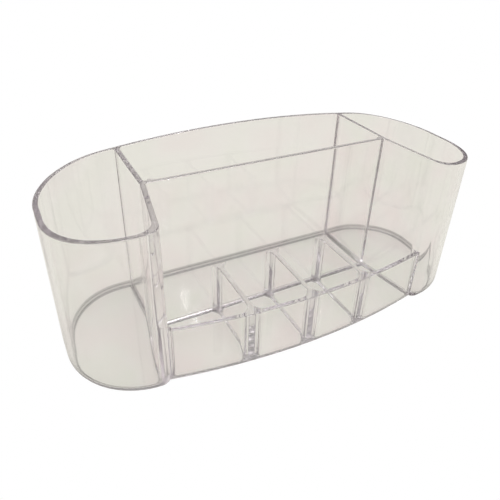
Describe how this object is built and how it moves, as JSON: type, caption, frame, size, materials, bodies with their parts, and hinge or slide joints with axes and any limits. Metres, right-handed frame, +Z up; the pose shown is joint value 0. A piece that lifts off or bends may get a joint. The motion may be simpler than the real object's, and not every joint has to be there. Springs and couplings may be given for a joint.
{
  "type": "makeup storage box",
  "caption": "Open-topped clear plastic box with round-ended cups, a deep straight rear bay and low slots behind a bowed front, for standing brushes, tubes and lipsticks upright",
  "frame": {"origin": "Middle of the flat underside, below the centre of the plan's bounding box", "axes": "+X along the long side to the right seen from the front, +Y to the tall straight back, +Z up; the low bowed front faces -Y"},
  "size_m": [0.22, 0.088, 0.088],
  "materials": {
    "clear_plastic": "polished"
  },
  "bodies": {
    "root": {"base_tray": "clear_plastic", "back_wall": "clear_plastic", "left_end_wall": "clear_plastic", "right_end_wall": "clear_plastic", "left_partition": "clear_plastic", "right_partition": "clear_plastic", "middle_wall": "clear_plastic", "front_wall": "clear_plastic", "divider_left": "clear_plastic", "divider_centre": "clear_plastic", "divider_right": "clear_plastic"}
  },
  "joints": []
}
